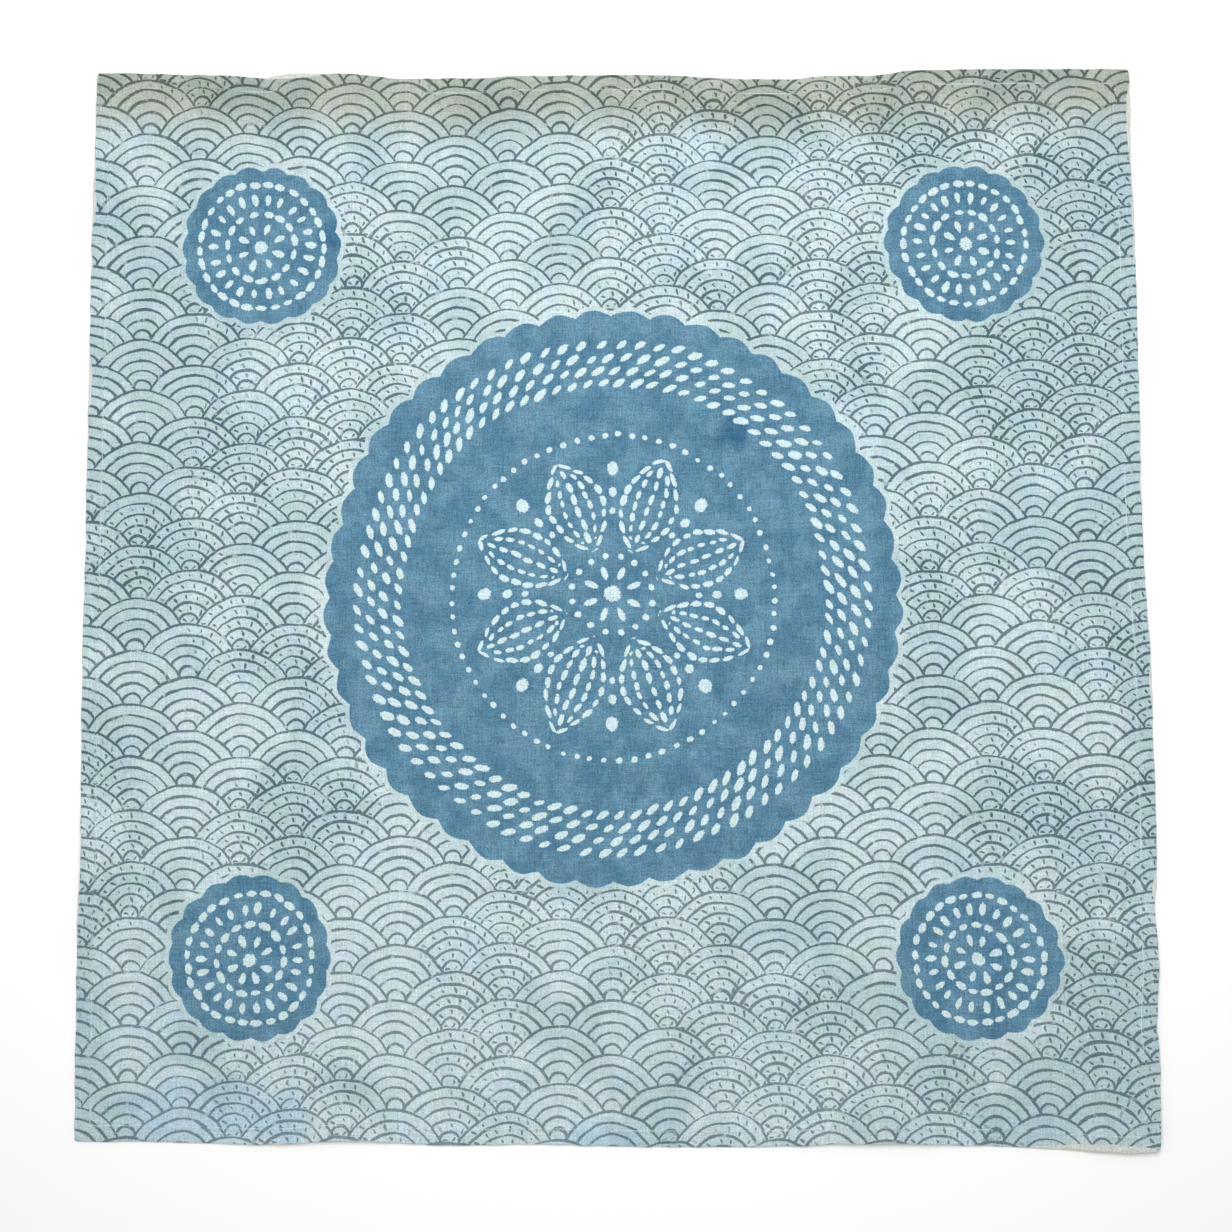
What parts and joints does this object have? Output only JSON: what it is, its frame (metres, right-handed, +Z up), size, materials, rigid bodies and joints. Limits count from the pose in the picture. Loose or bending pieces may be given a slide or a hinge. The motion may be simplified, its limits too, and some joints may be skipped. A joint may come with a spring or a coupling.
{
  "type": "bandana",
  "caption": "Thin square cotton bandana with narrow sewn hems, lying face up, with an indigo flower and wave print on pale blue-grey; worn round the neck or head.",
  "frame": {"origin": "on the surface that the bandana lies on, under the middle of the cloth", "axes": "+Z up out of the printed face; +X to the right and +Y to the top edge, seen from above"},
  "size_m": [0.5543, 0.5634, 0.0052],
  "materials": {
    "printed_cotton": "matt plain-weave cotton, resist printed: pale blue-grey ground with slate lines and mid-blue figures"
  },
  "bodies": {
    "root": {"cloth": "printed_cotton"}
  },
  "joints": []
}
